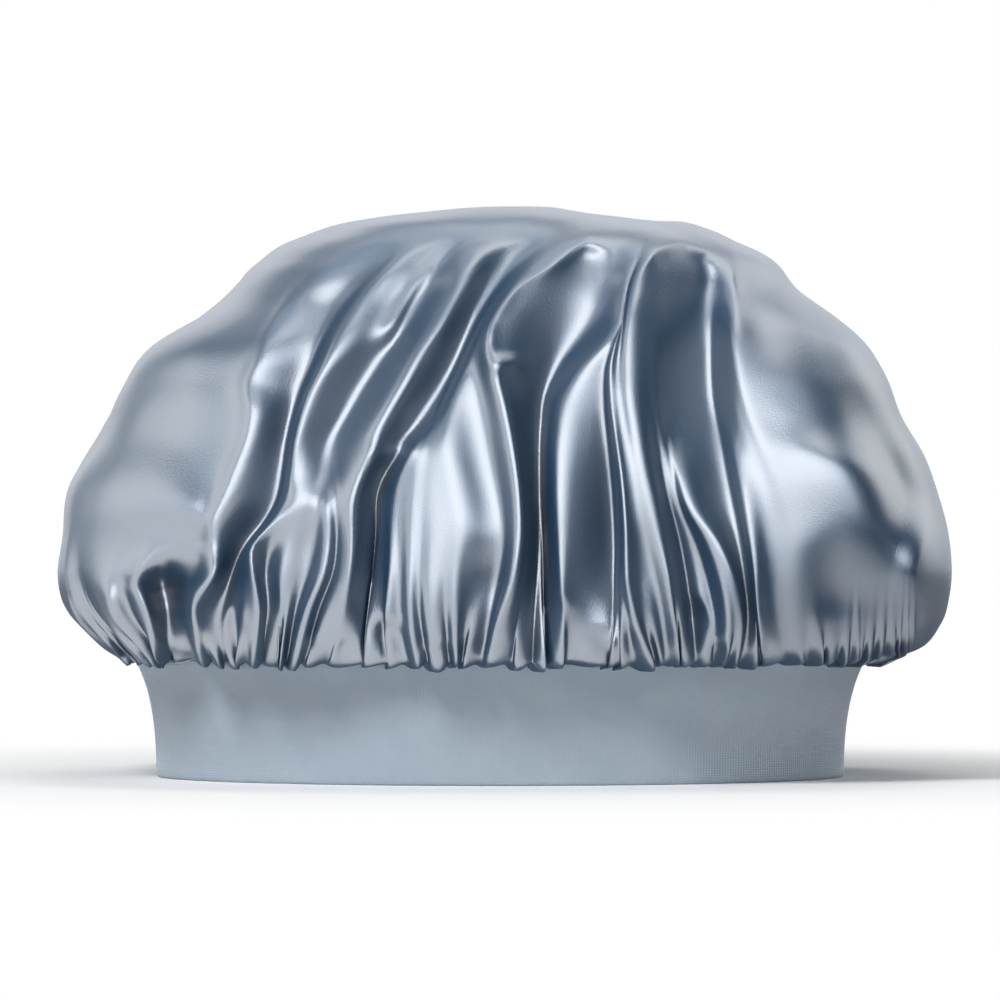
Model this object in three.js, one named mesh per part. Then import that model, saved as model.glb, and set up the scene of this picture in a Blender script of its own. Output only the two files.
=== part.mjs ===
// A sleep bonnet: a puffed satin crown, gathered and sewn to a wide stretch-knit band.
// Millimetres, +Z up. The origin is the middle of the head opening, on the plane of the hem,
// and the front of the bonnet faces -Y. The bonnet stands open on its hem, as on a head form.
import * as THREE from "three";

// Band: one knit strip, folded double at the hem and opened to an oval
const BAND_WIDTH = 232; // outside, across X at the hem
const BAND_DEPTH = 162; // outside, across Y at the hem
const BAND_HEIGHT = 40; // hem to seam
const BAND_FLARE = 7.5; // how far the crown pulls the band outwards at the seam
const FLARE_POWER = 3; // how late the flare starts on the way up
const KNIT_PLY = 0.9; // one layer of the knit
const PLY_GAP = 0.4; // air between the two layers
const HEM_ROUND = 0.5; // rounding of the folded hem
const BAND_COLUMNS = 64;
const FLARE_LEVELS = [0.45, 0.75, 0.9]; // shares of the band height that follow the flare

// Seam: the raw edges of crown and band stand up inside the crown, with the elastic, and are bound
const SEAM_ALLOWANCE = 8; // raw edges above the seam
const SEAM_CLEARANCE = 0.3; // between the layers of the seam
const ELASTIC_WIDTH = 6;
const ELASTIC_THICKNESS = 0.9;
const ELASTIC_ABOVE_SEAM = 1;
const BINDING_THREAD = 0.5; // thickness of the overlock thread cover
const BINDING_DROP = 7; // how far the overlock reaches down from the raw edges

// Crown: one satin disc, gathered all round
const SATIN_WALL = 0.8;
const CROWN_HEIGHT = 153; // seam to the top
const BULGE_HEIGHT = 31; // seam to the widest level
const BULGE_SIDE = 26.5; // how far the crown stands out past the seam, at each side
const BULGE_FRONT = 20; // the same at front and back
const LOOP_DROP = 2; // how far the gathers hang below the seam
const LOOP_REACH = 6; // how far out of the seam they turn
const DOME_RISE = 0.8; // below 1 the dome rises sooner, and its top is flatter
const DOME_SIDE = 1.18; // above 1 the dome has sloping shoulders, seen from the front
const DOME_FRONT = 0.55; // below 1 it has upright walls, seen from the side
const SEAM_PLAN = 2; // the seam is an ellipse, seen from above
const CROWN_PLAN = 2.6; // and above 2 the crown has flatter sides and fuller corners
const DOME_LATITUDES = [15, 30, 44, 57, 69, 80]; // degrees above the widest level, a ring of points each

// Gathers and main folds of the crown
const GATHERS = 28;
const COLUMNS_PER_GATHER = 2; // one at its ridge and one in its valley
const GATHER_DEPTH = 5;
const LOOP_GATHER = 0.25; // share of that depth where the gathers turn out of the seam
const WIDEST_GATHER = 0.6; // and at the widest level
const GATHER_END = 44; // latitude in degrees at which the gathers have died out
const LOOP_FOLD = 0.15; // share of a main fold's depth where the gathers turn out of the seam
const UNDER_FOLD = 0.5; // and in the middle of the underside
const FOLD_MIDDLE = 30; // latitude of a fold's middle
const FOLD_TOP = 60; // and of its top
const FOLD_END = 84; // latitude at which every fold has died out
// Each fold is a valley, given at its foot in the gathers, at its middle and at its top: its direction in
// degrees from the front, positive to +X, and how deep it is in mm. Its spread is in degrees.
const FRONT_FOLDS = [
  { directions: [-46, -46, -44], depths: [11, 3, 0], spread: 5 },
  { directions: [-38, -34, -31], depths: [12, 9, 3], spread: 6 },
  { directions: [-15, -7, 8], depths: [11, 20, 14], spread: 7 },
  { directions: [6, 8, 20], depths: [9, 18, 6], spread: 5 },
  { directions: [14, 15, 26], depths: [8, 0, 0], spread: 4 },
  { directions: [28, 32, 45], depths: [7, 25, 12], spread: 7 },
  { directions: [52, 62, 64], depths: [4, 5, 0], spread: 8 },
];
const BACK_FOLDS = 10;
const BACK_FROM = 100; // degrees from the front to the first fold of the back
const BACK_LEAN = 6; // degrees by which a fold of the back leans over on its way up
const BACK_DEPTHS = [8, 5]; // deep and shallow by turns
const BACK_TOP_SHARE = 0.3; // share of that depth left at the top of a fold
const BACK_SPREAD = 6;

const SATIN = { color: 0x5f7183, roughness: 0.32, metalness: 0.0 };
const KNIT = { color: 0x93a0ad, roughness: 0.85, metalness: 0.0 };
const ELASTIC = { color: 0xdfe2e4, roughness: 0.8, metalness: 0.0 };
const THREAD = { color: 0x76879a, roughness: 0.7, metalness: 0.0 };

const BAND_TOP = BAND_HEIGHT + SEAM_ALLOWANCE;
const BAND_THICKNESS = 2 * KNIT_PLY + PLY_GAP;
const radians = THREE.MathUtils.degToRad;

// The oval of the band's outer face at a height: half its width and half its depth.
function bandOval(z) {
  const share = Math.min(z / BAND_HEIGHT, 1);
  const flare = BAND_FLARE * share ** FLARE_POWER;
  return { halfWidth: BAND_WIDTH / 2 + flare, halfDepth: BAND_DEPTH / 2 + flare };
}

// A point on an oval in a direction in degrees from the front. Its plan is the power of its formula.
function onOval(halfWidth, halfDepth, z, direction, plan = SEAM_PLAN) {
  const across = Math.sin(radians(direction));
  const deep = Math.sign(Math.cos(radians(direction))) * (1 - Math.abs(across) ** plan) ** (1 / plan);
  return [halfWidth * across, -halfDepth * deep, z];
}

function geometryOf(points, triangles) {
  return new THREE.BufferGeometry()
    .setAttribute("position", new THREE.Float32BufferAttribute(points.flat(), 3))
    .setIndex(triangles.flat());
}

// Two triangles between neighbouring columns of two rings that start at these indices.
function joinRings(triangles, low, high, columns) {
  for (let column = 0; column < columns; column++) {
    const next = (column + 1) % columns;
    triangles.push([low + column, low + next, high + next]);
    triangles.push([low + column, high + next, high + column]);
  }
}

// A closed section swept round the band. Each of its points is a distance out of the band's outer
// face and a height, in the order up the outside, in along the top, down the inside.
function sweepRoundBand(section) {
  const points = [];
  const triangles = [];
  for (const { out, z } of section) {
    const { halfWidth, halfDepth } = bandOval(z);
    for (let column = 0; column < BAND_COLUMNS; column++) {
      const direction = (360 * column) / BAND_COLUMNS;
      points.push(onOval(halfWidth + out, halfDepth + out, z, direction));
    }
  }
  for (let k = 0; k < section.length; k++) {
    const next = (k + 1) % section.length;
    joinRings(triangles, k * BAND_COLUMNS, next * BAND_COLUMNS, BAND_COLUMNS);
  }
  return geometryOf(points, triangles);
}

// Heights at which a face of the band has points, from the hem or the fold of the slot to the top.
function bandHeights(from) {
  return [from, ...FLARE_LEVELS.map((share) => share * BAND_HEIGHT), BAND_HEIGHT, BAND_TOP];
}

// The knit strip: two layers with a slot between them, closed by the fold at the hem.
function bandGeometry() {
  const up = (out, from) => bandHeights(from).map((z) => ({ out, z }));
  const down = (out, from) => up(out, from).reverse();
  return sweepRoundBand([
    ...up(0, HEM_ROUND),
    ...down(-KNIT_PLY, KNIT_PLY),
    ...up(-KNIT_PLY - PLY_GAP, KNIT_PLY),
    ...down(-BAND_THICKNESS, HEM_ROUND),
    { out: HEM_ROUND - BAND_THICKNESS, z: 0 },
    { out: -HEM_ROUND, z: 0 },
  ]);
}

// A ring of rectangular section between two distances out of the band and two heights.
function rectangleRing(inside, outside, bottom, top) {
  return sweepRoundBand([
    { out: outside, z: bottom },
    { out: outside, z: top },
    { out: inside, z: top },
    { out: inside, z: bottom },
  ]);
}

// The elastic lies against the inner layer of the band, above the seam.
function elasticGeometry() {
  const outside = -BAND_THICKNESS - SEAM_CLEARANCE;
  const bottom = BAND_HEIGHT + ELASTIC_ABOVE_SEAM;
  return rectangleRing(outside - ELASTIC_THICKNESS, outside, bottom, bottom + ELASTIC_WIDTH);
}

// The overlock thread covers the raw edges of crown, band and elastic like a cap.
function bindingGeometry() {
  const under = BAND_TOP + SEAM_CLEARANCE;
  const over = under + BINDING_THREAD;
  const foot = over - BINDING_DROP;
  const outerLeg = SEAM_CLEARANCE + SATIN_WALL + SEAM_CLEARANCE;
  const innerLeg = -BAND_THICKNESS - ELASTIC_THICKNESS - 2 * SEAM_CLEARANCE;
  return sweepRoundBand([
    { out: outerLeg + BINDING_THREAD, z: foot },
    { out: outerLeg + BINDING_THREAD, z: over },
    { out: innerLeg - BINDING_THREAD, z: over },
    { out: innerLeg - BINDING_THREAD, z: foot },
    { out: innerLeg, z: foot },
    { out: innerLeg, z: under },
    { out: outerLeg, z: under },
    { out: outerLeg, z: foot },
  ]);
}

// The rings of points that the crown is made on, from its raw edge in the seam to near its top.
// Each has its oval and the plan of it, its height, its latitude on the dome and how much of the gathers
// and of the main folds it has.
function crownRings() {
  const seam = bandOval(BAND_HEIGHT);
  const edge = SEAM_CLEARANCE + SATIN_WALL / 2;
  const widestZ = BAND_HEIGHT + BULGE_HEIGHT;
  const loopZ = BAND_HEIGHT - LOOP_DROP;
  const slope = Math.SQRT1_2; // sine and cosine of the middle of the underside
  const beside = (outSide, outFront, z, plan, gathers, folds) => ({
    halfWidth: seam.halfWidth + outSide,
    halfDepth: seam.halfDepth + outFront,
    z,
    plan,
    latitude: 0,
    gathers,
    folds,
  });
  const underside = (out) => LOOP_REACH + (out - LOOP_REACH) * slope;
  const dome = DOME_LATITUDES.map((latitude) => {
    const turn = radians(latitude);
    return {
      halfWidth: (seam.halfWidth + BULGE_SIDE) * Math.cos(turn) ** DOME_SIDE,
      halfDepth: (seam.halfDepth + BULGE_FRONT) * Math.cos(turn) ** DOME_FRONT,
      z: widestZ + (CROWN_HEIGHT - BULGE_HEIGHT) * Math.sin(turn) ** DOME_RISE,
      plan: CROWN_PLAN,
      latitude,
      gathers: WIDEST_GATHER * Math.max(0, 1 - latitude / GATHER_END),
      folds: THREE.MathUtils.clamp((FOLD_END - latitude) / (FOLD_END - FOLD_TOP), 0, 1),
    };
  });
  const underZ = widestZ - (widestZ - loopZ) * slope;
  const underPlan = SEAM_PLAN + (CROWN_PLAN - SEAM_PLAN) * slope;
  return [
    beside(edge, edge, BAND_TOP, SEAM_PLAN, 0, 0),
    beside(edge, edge, BAND_HEIGHT, SEAM_PLAN, 0, 0),
    beside(LOOP_REACH, LOOP_REACH, loopZ, SEAM_PLAN, LOOP_GATHER, LOOP_FOLD),
    beside(underside(BULGE_SIDE), underside(BULGE_FRONT), underZ, underPlan, 1, UNDER_FOLD),
    beside(BULGE_SIDE, BULGE_FRONT, widestZ, CROWN_PLAN, WIDEST_GATHER, 1),
    ...dome,
  ];
}

// All main folds: the ones of the front, and leaning ones spread over the back.
function crownFolds() {
  const step = (360 - 2 * BACK_FROM) / (BACK_FOLDS - 1);
  const back = Array.from({ length: BACK_FOLDS }, (_, k) => {
    const foot = BACK_FROM + k * step;
    const depth = BACK_DEPTHS[k % BACK_DEPTHS.length];
    return {
      directions: [foot, foot + BACK_LEAN / 2, foot + BACK_LEAN],
      depths: [depth, depth, depth * BACK_TOP_SHARE],
      spread: BACK_SPREAD,
    };
  });
  return [...FRONT_FOLDS, ...back];
}

// What a fold has at its foot, middle and top, read at a latitude, straight between them.
function alongFold([foot, middle, top], latitude) {
  const lower = Math.min(latitude / FOLD_MIDDLE, 1);
  const upper = THREE.MathUtils.clamp((latitude - FOLD_MIDDLE) / (FOLD_TOP - FOLD_MIDDLE), 0, 1);
  return foot + (middle - foot) * lower + (top - middle) * upper;
}

// How far a fold's valley has turned from its foot at a latitude.
function foldTurn(fold, latitude) {
  return alongFold(fold.directions, latitude) - fold.directions[0];
}

// How far the cloth of a column has turned at a latitude: between the folds on either side of it.
function columnTurn(direction, latitude, folds) {
  const feet = folds.map((fold) => fold.directions[0]);
  const foot = feet[0] + THREE.MathUtils.euclideanModulo(direction - feet[0], 360);
  const before = feet.findLastIndex((place) => place <= foot);
  const after = (before + 1) % folds.length;
  const apart = THREE.MathUtils.euclideanModulo(feet[after] - feet[before], 360);
  return THREE.MathUtils.lerp(
    foldTurn(folds[before], latitude), foldTurn(folds[after], latitude), (foot - feet[before]) / apart);
}

// How deep a column of the crown is drawn in at a ring, by its gathers and its main folds.
function drawnIn(ring, column, direction, folds) {
  const valley = (column % COLUMNS_PER_GATHER) / (COLUMNS_PER_GATHER - 1);
  let depth = GATHER_DEPTH * ring.gathers * valley;
  for (const fold of folds) {
    const off = THREE.MathUtils.euclideanModulo(direction - fold.directions[0] + 180, 360) - 180;
    depth += alongFold(fold.depths, ring.latitude) * ring.folds * Math.exp(-((off / fold.spread) ** 2));
  }
  return depth;
}

// The direction square to the crown's meridian at a ring, towards its outer side.
function ringNormal(rings, k, top) {
  const before = rings[Math.max(k - 1, 0)];
  const after = rings[k + 1] ?? top;
  const radius = (ring) => (ring.halfWidth + ring.halfDepth) / 2;
  const along = new THREE.Vector2(radius(after) - radius(before), after.z - before.z).normalize();
  return { out: along.y, up: -along.x };
}

// The satin crown: a closed shell of even wall, open at the seam.
function crownGeometry() {
  const columns = GATHERS * COLUMNS_PER_GATHER;
  const rings = crownRings();
  const folds = crownFolds();
  const top = { halfWidth: 0, halfDepth: 0, z: BAND_HEIGHT + CROWN_HEIGHT };
  const points = [];
  const [outer, inner] = [SATIN_WALL / 2, -SATIN_WALL / 2].map((offset) => {
    const first = points.length;
    rings.forEach((ring, k) => {
      const normal = ringNormal(rings, k, top);
      for (let column = 0; column < columns; column++) {
        const direction = (360 * column) / columns;
        const out = offset * normal.out - drawnIn(ring, column, direction, folds);
        points.push(onOval(
          ring.halfWidth + out,
          ring.halfDepth + out,
          ring.z + offset * normal.up,
          direction + columnTurn(direction, ring.latitude, folds),
          ring.plan));
      }
    });
    points.push([0, 0, top.z + offset]);
    return first;
  });

  // Both sides have the same triangles, so that the wall between them is even
  const last = (rings.length - 1) * columns;
  const side = [];
  for (let k = 0; k + 1 < rings.length; k++) {
    joinRings(side, k * columns, (k + 1) * columns, columns);
  }
  for (let column = 0; column < columns; column++) {
    side.push([last + column, last + ((column + 1) % columns), last + columns]);
  }
  const triangles = [
    ...side.map(([a, b, c]) => [outer + a, outer + b, outer + c]),
    ...side.map(([a, b, c]) => [inner + a, inner + c, inner + b]),
  ];
  joinRings(triangles, inner, outer, columns);
  return geometryOf(points, triangles);
}

function piece(name, geometry, finish) {
  const mesh = new THREE.Mesh(geometry, new THREE.MeshStandardMaterial(finish));
  mesh.name = name;
  return mesh;
}

const bonnet = new THREE.Group();
bonnet.add(piece("crown", crownGeometry(), SATIN));
bonnet.add(piece("band", bandGeometry(), KNIT));
bonnet.add(piece("gather_elastic", elasticGeometry(), ELASTIC));
bonnet.add(piece("overlock_binding", bindingGeometry(), THREAD));

export default bonnet;
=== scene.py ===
import math
import random

import bpy
import numpy as np
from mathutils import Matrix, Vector, noise


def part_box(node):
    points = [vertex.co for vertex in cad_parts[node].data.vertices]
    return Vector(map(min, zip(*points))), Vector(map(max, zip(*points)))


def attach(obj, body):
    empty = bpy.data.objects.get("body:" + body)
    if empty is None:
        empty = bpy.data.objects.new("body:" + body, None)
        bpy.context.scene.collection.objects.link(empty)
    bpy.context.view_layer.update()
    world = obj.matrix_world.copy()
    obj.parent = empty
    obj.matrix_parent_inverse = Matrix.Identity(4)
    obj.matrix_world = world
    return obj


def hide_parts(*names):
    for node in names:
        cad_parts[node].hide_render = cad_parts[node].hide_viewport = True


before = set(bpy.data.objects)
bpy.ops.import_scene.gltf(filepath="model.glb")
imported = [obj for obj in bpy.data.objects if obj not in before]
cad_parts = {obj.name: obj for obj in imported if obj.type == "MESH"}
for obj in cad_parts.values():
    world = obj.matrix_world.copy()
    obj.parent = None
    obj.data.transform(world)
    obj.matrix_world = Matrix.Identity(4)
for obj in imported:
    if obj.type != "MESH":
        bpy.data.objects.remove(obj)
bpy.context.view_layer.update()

# The bonnet stands on its hem with its front to -Y. Lengths are in millimetres, and MM turns them
# into the metres that Blender works in.
MM = 0.001

# The photograph looks straight at the front. These turn its pixels into places on the bonnet.
PHOTO_SIZE = 1000  # pixels along each side
PHOTO_MM = 0.3375  # size of one pixel
PHOTO_MIDDLE = 500  # column of pixels at X = 0
PHOTO_HEM = 776  # row of pixels at the hem

# Seam between crown and band
SEAM_HEIGHT = 40
seam_half_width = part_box("band")[1].x / MM
seam_half_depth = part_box("band")[1].y / MM
raw_edge_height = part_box("band")[1].z / MM

# Smooth form of the crown, before its folds
TOP_MARGIN = 1.5  # how far its top stays under the solid's
crown_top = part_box("crown")[1].z / MM - TOP_MARGIN
WIDEST_HEIGHT = 71
WIDEST_HALF_DEPTH = 106
LOOP_HEIGHT = 40.0  # lowest level of the gathers, where they turn under
LOOP_REACH = 5.0  # how far out of the seam they turn
# Powers of the curves that the form follows: a lower one swells out sooner
UNDER_FULLNESS = 0.6  # from the gathers out to the widest level
RISE_FULLNESS = 0.8  # from the widest level up to the top
DEPTH_FULLNESS = 0.45  # of the front and the back, which stay upright further up
FOOT_FULLNESS = 0.8  # of the folds, which grow from the gathers up
PLAN_FULLNESS = 2.6  # 2 is an oval seen from above, and more has flatter sides and rounder corners
TOP_LATITUDE = 88.6
# Rings inside the seam, from the raw edge out: how far out of the band's face, how far over the seam,
# and the share of the folds' height that they have
TUCK = [(0.7, 8.0, 0.0), (0.7, 2.0, 0.0), (1.0, 0.0, 0.05), (2.4, -0.4, 0.15)]
UNDER_RINGS = 44
DOME_RINGS = 120
FRONT_COLUMNS = 640
SIDE_COLUMNS = 180  # from each side to the middle of the back
SIDE_FADE = 0.2  # cosine of the direction at which creases and dents of the front have their full height
EVEN_LATITUDES = (4, 20, 62, 76)  # degrees up the crown between which the outline's humps leave the back
EVEN_FROM = 0.35  # minus the cosine of the direction at which they have died out
EVEN_DEGREE = 4  # of the curve that takes their place
SQUARE_FROM, SQUARE_TO = 0.6, 0.25  # cosines between which the folds turn square to the cloth
CREASE_SOFTNESS = 1.5  # columns
# Outline of the crown in the photograph, from the gathers to the top
LEFT_OUTLINE = [(134, 664), (122, 652), (100, 640), (77, 620), (61, 600), (55, 575), (57, 540), (64, 485),
                (97, 436), (118, 390), (150, 344), (215, 307), (255, 265), (300, 238), (370, 220),
                (440, 212), (500, 206)]
RIGHT_OUTLINE = [(868, 664), (892, 654), (921, 641), (938, 620), (943, 595), (944, 550), (934, 500),
                 (918, 455), (897, 420), (881, 375), (855, 335), (800, 294), (745, 247), (690, 231),
                 (630, 220), (580, 212), (545, 206)]

# Ridges and valleys of the front, each from the gathers up: column and row in the photograph, and how
# far it stands out of the smooth form.
FRONT_FOLDS = {
    "left_edge_ridge": [(121, 652, 1.5), (104, 634, 2), (88, 612, 2.5), (78, 585, 2), (74, 555, 1),
                        (76, 530, 0)],
    "left_edge_valley": [(141, 655, -1), (122, 636, -2), (104, 612, -2), (92, 585, -1.5), (88, 555, -0.5),
                         (90, 530, 0)],
    "corner_ridge": [(160, 652, 3), (138, 625, 4), (124, 600, 4), (119, 580, 3), (122, 562, 1),
                     (127, 545, 0)],
    "corner_valley": [(166, 652, -2), (150, 622, -4), (138, 598, -4), (134, 580, -3), (140, 562, -1),
                      (146, 545, 0)],
    "pocket_ridge": [(172, 653, 3), (157, 606, 3), (146, 578, 3), (152, 560, 0)],
    "pocket": [(177, 654, -5), (173, 605, -13), (166, 575, -14), (172, 560, -7), (180, 545, 0)],
    "pocket_wall": [(198, 654, -3), (193, 610, -9), (190, 582, -12), (200, 565, -6), (207, 545, 0)],
    "left_ridge": [(217, 656, 5), (205, 634, 6), (203, 600, 6), (213, 582, 6), (226, 563, 5),
                   (225, 542, 4), (228, 515, 5), (237, 493, 5), (248, 465, 5), (260, 435, 5),
                   (263, 410, 6), (258, 386, 6), (267, 361, 6), (280, 328, 5), (302, 294, 4),
                   (333, 266, 2), (375, 240, 0)],
    "left_valley": [(224, 654, -3), (226, 612, -6), (232, 585, -8), (250, 545, -9), (270, 520, -10),
                    (281, 500, -10), (287, 475, -10), (291, 450, -10), (297, 420, -11), (304, 395, -11),
                    (314, 370, -11), (328, 330, -10), (356, 290, -7), (388, 260, -4), (405, 242, -1),
                    (412, 234, 0)],
    "pleat_left_edge": [(263, 656, 5), (266, 625, 6), (268, 603, 6), (261, 560, 7), (259, 540, 7),
                        (274, 524, 5), (292, 500, 2), (298, 475, 2), (303, 440, 4), (314, 400, 5),
                        (328, 370, 6), (344, 337, 6), (374, 290, 4), (412, 250, 2), (440, 226, 0)],
    "pleat_left_inside": [(272, 655, -4), (275, 603, -5), (272, 560, -4), (287, 525, 3), (302, 500, 4),
                          (307, 475, 2), (314, 440, 1), (329, 400, 1), (356, 350, 2), (392, 290, 0),
                          (432, 245, -1), (456, 224, 0)],
    "shelf": [(284, 655, 1), (287, 603, 2), (289, 560, 3), (302, 525, 2), (312, 500, 4), (317, 475, 0),
              (324, 440, -3), (343, 400, -4), (371, 350, -4), (408, 290, -6), (446, 245, -5),
              (466, 224, 0)],
    "stripe_valley": [(289, 656, -3), (300, 603, -3), (312, 560, -2), (319, 525, -1), (322, 500, 3),
                      (327, 475, -3), (335, 440, -7), (356, 400, -8), (384, 350, -8)],
    "short_ridge": [(295, 658, 5), (310, 603, 6), (330, 560, 6), (334, 525, 5), (333, 500, 5),
                    (338, 475, -3), (346, 440, -6), (367, 400, -7), (395, 350, -9), (424, 290, -10),
                    (458, 245, -8), (476, 224, 0)],
    "short_valley": [(318, 655, -3), (332, 603, -2), (344, 560, 0), (345, 525, 1), (344, 500, 3),
                     (348, 475, 1), (357, 440, -1), (379, 400, -2), (406, 350, -4), (440, 290, -6)],
    "bright_ridge": [(331, 658, 5), (347, 600, 7), (356, 557, 8), (360, 496, 8), (375, 456, 8),
                     (384, 429, 8), (408, 380, 8), (421, 352, 8), (441, 324, 7), (463, 281, 6),
                     (480, 246, 5), (496, 220, 4), (505, 208, 2), (510, 202, 0)],
    "deep_valley_left": [(362, 656, -4), (366, 619, -5), (370, 573, -5), (373, 527, -4), (376, 480, -4),
                         (391, 446, -3), (410, 406, 0), (428, 369, 1), (449, 328, 1), (472, 284, 0),
                         (494, 248, -1), (508, 228, -2), (517, 212, -2), (523, 204, 0)],
    "deep_valley_right": [(374, 657, -6), (376, 619, -9), (381, 573, -10), (384, 527, -9),
                          (386, 485, -9), (402, 458, -8), (424, 415, -8), (443, 377, -8), (464, 335, -8),
                          (488, 290, -9), (512, 250, -9), (527, 228, -9), (536, 212, -6),
                          (541, 204, -2)],
    "panel_edge": [(398, 656, 2), (392, 610, 1), (392, 560, 1), (394, 500, 0), (402, 468, 1),
                   (413, 450, 3), (430, 425, -3), (441, 400, -7), (454, 372, -8), (472, 335, -7),
                   (494, 297, -7), (514, 268, -7), (528, 250, -6), (543, 230, -6), (551, 212, -4),
                   (556, 204, -1)],
    "panel_ridge": [(432, 656, 4), (424, 600, 5), (424, 540, 5), (426, 480, 4), (432, 440, 3),
                    (447, 400, -3), (460, 372, -4), (476, 335, -3), (497, 297, -4), (524, 268, -3),
                    (544, 250, -2), (562, 230, 0)],
    "panel_swell": [(458, 656, 3), (458, 600, 6), (460, 560, 7), (466, 520, 8), (460, 480, 7),
                    (452, 440, 6), (456, 400, 2), (466, 372, 0), (480, 335, 1), (499, 300, -1)],
    "panel_pocket": [(474, 656, -3), (484, 610, -2), (492, 575, -3), (496, 540, 2), (494, 505, 1),
                     (486, 460, -1), (479, 410, -1), (478, 372, 1), (484, 335, 3), (502, 300, 2),
                     (517, 283, 2), (534, 270, 1)],
    "hollow_rim": [(500, 656, 5), (508, 610, 7), (519, 565, 8), (522, 523, 8), (519, 482, 8),
                   (511, 431, 8), (502, 395, 8), (493, 372, 8), (490, 346, 8), (493, 324, 8),
                   (504, 304, 7), (520, 287, 6), (546, 272, 3), (562, 260, 0)],
    "hollow_left": [(526, 656, -5), (527, 600, -5), (530, 560, -5), (531, 520, -5), (529, 480, -5),
                    (525, 430, -4), (519, 390, -1), (512, 355, 3), (514, 330, 4), (525, 308, 4),
                    (544, 287, 2), (561, 270, 0), (573, 256, -1), (580, 246, 0)],
    "hollow_middle": [(534, 656, -6), (535, 600, -9), (537, 540, -10), (536, 480, -10), (534, 430, -9),
                      (533, 395, -8), (536, 360, -6), (541, 335, -5), (553, 310, -5), (570, 285, -6),
                      (582, 266, -7), (589, 254, -4), (592, 244, 0)],
    "hollow_right": [(541, 656, -7), (542, 600, -9), (542, 540, -10), (541, 480, -10), (542, 430, -12),
                     (547, 395, -16), (562, 365, -18), (582, 335, -18), (596, 308, -15), (604, 285, -11),
                     (607, 268, -7), (608, 256, -4), (609, 246, 0)],
    "pleat_edge": [(553, 656, 4), (553, 600, 5), (552, 540, 6), (551, 480, 6), (552, 430, 5),
                   (557, 395, 4), (574, 366, 3), (594, 346, 2), (609, 326, 2), (615, 302, 2),
                   (619, 280, 1), (622, 262, 0)],
    "pleat_hollow": [(592, 656, -3), (604, 600, -7), (610, 550, -10), (609, 500, -10), (604, 450, -7),
                     (599, 400, -4), (600, 368, -1), (608, 342, 2)],
    "twin_ridge_left": [(644, 656, 4), (633, 620, 5), (622, 575, 5), (620, 523, 5), (617, 480, 5),
                        (611, 430, 5), (607, 391, 4), (608, 365, 4), (614, 340, 4)],
    "twin_valley": [(660, 656, -2), (652, 610, 1), (640, 560, 2), (629, 520, 3), (624, 480, 3),
                    (618, 420, 2), (616, 390, 2)],
    "twin_ridge_right": [(674, 658, 5), (671, 610, 6), (666, 564, 7), (656, 523, 7), (641, 469, 7),
                         (632, 430, 7), (625, 395, 7), (621, 346, 7), (623, 310, 8), (630, 282, 7),
                         (641, 262, 5), (649, 245, 2), (654, 236, 0)],
    "great_valley_left": [(692, 656, -4), (686, 610, -6), (680, 570, -6), (672, 530, -5), (662, 490, -2),
                          (653, 440, -1), (647, 390, 0), (645, 340, 0), (647, 305, 1), (652, 278, 2),
                          (657, 258, 2), (662, 244, 1), (664, 234, 0)],
    "streak_ridge": [(728, 657, 3), (735, 612, 5), (727, 571, 6), (710, 533, 6), (690, 507, 4),
                     (678, 464, 0), (673, 440, -4), (671, 400, -7), (671, 350, -7), (673, 310, -5),
                     (676, 284, -3), (679, 264, -2), (681, 250, -1), (682, 236, 0)],
    "great_valley_right": [(740, 658, -5), (741, 610, -6), (734, 560, -5), (726, 515, -5),
                           (717, 470, -9), (710, 430, -13), (704, 390, -15), (702, 345, -14),
                           (701, 305, -11), (702, 284, -8), (703, 264, -5), (704, 250, -2),
                           (705, 238, 0)],
    "long_ridge": [(764, 657, 4), (751, 602, 5), (745, 552, 5), (737, 499, 4), (726, 443, -3),
                   (716, 395, -8), (713, 350, -8), (713, 310, -6), (714, 280, -4), (716, 262, -2),
                   (717, 246, 0)],
    "bulge_strip": [(776, 656, -1), (764, 602, 0), (760, 552, 1), (755, 500, 2), (742, 450, 1),
                    (728, 410, -1), (722, 370, -2), (722, 330, 0), (724, 290, 0)],
    "bulge_edge": [(800, 656, 2), (795, 602, 3), (792, 552, 4), (788, 526, 4), (776, 485, 4),
                   (752, 432, 3), (736, 392, 2), (730, 360, 2), (729, 325, 2), (730, 290, 1),
                   (732, 262, 0)],
    "bulge_swell": [(832, 656, 0), (832, 600, 0), (830, 560, 2), (836, 525, 4), (842, 490, 5),
                    (830, 462, 5), (808, 448, 4), (792, 434, 3), (780, 412, 3), (772, 388, 2),
                    (768, 365, 2), (764, 345, 1)],
    "dent_valley": [(872, 652, 0), (872, 600, -1), (876, 560, 0), (890, 525, 0), (896, 497, -1),
                    (884, 465, -1), (868, 435, -1), (850, 405, 0), (836, 385, 0), (824, 366, 0),
                    (814, 350, 0), (804, 340, 0)],
    "shoulder_ridge": [(906, 648, 1), (903, 600, 3), (904, 560, 3), (914, 530, 2), (922, 505, 1),
                       (912, 470, 1), (896, 436, 1), (878, 402, 1), (858, 366, 1), (838, 344, 1),
                       (818, 328, 0), (804, 316, 0)],
}
LEAST_COLUMN_GAP = 2.6  # degrees of cloth between neighbouring folds
FOOT_SHARE = 0.3  # share of a fold's height where the gathers turn under
SOFT_LATITUDES = (0, 40, 58, 76)  # degrees up the crown, with how many columns the folds are softened by
SOFT_COLUMNS = (3, 6, 9, 60)
RING_SOFTENINGS = 6  # how often the folds of the front are evened out from ring to ring
WHOLE = 0.999  # share of a fold from which it counts as whole
FOLD_FADE = 20  # rows of pixels over which what is left of a fold dies out above its top
TOP_FADE = (70, 82)  # degrees up the crown between which all folds die out

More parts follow.
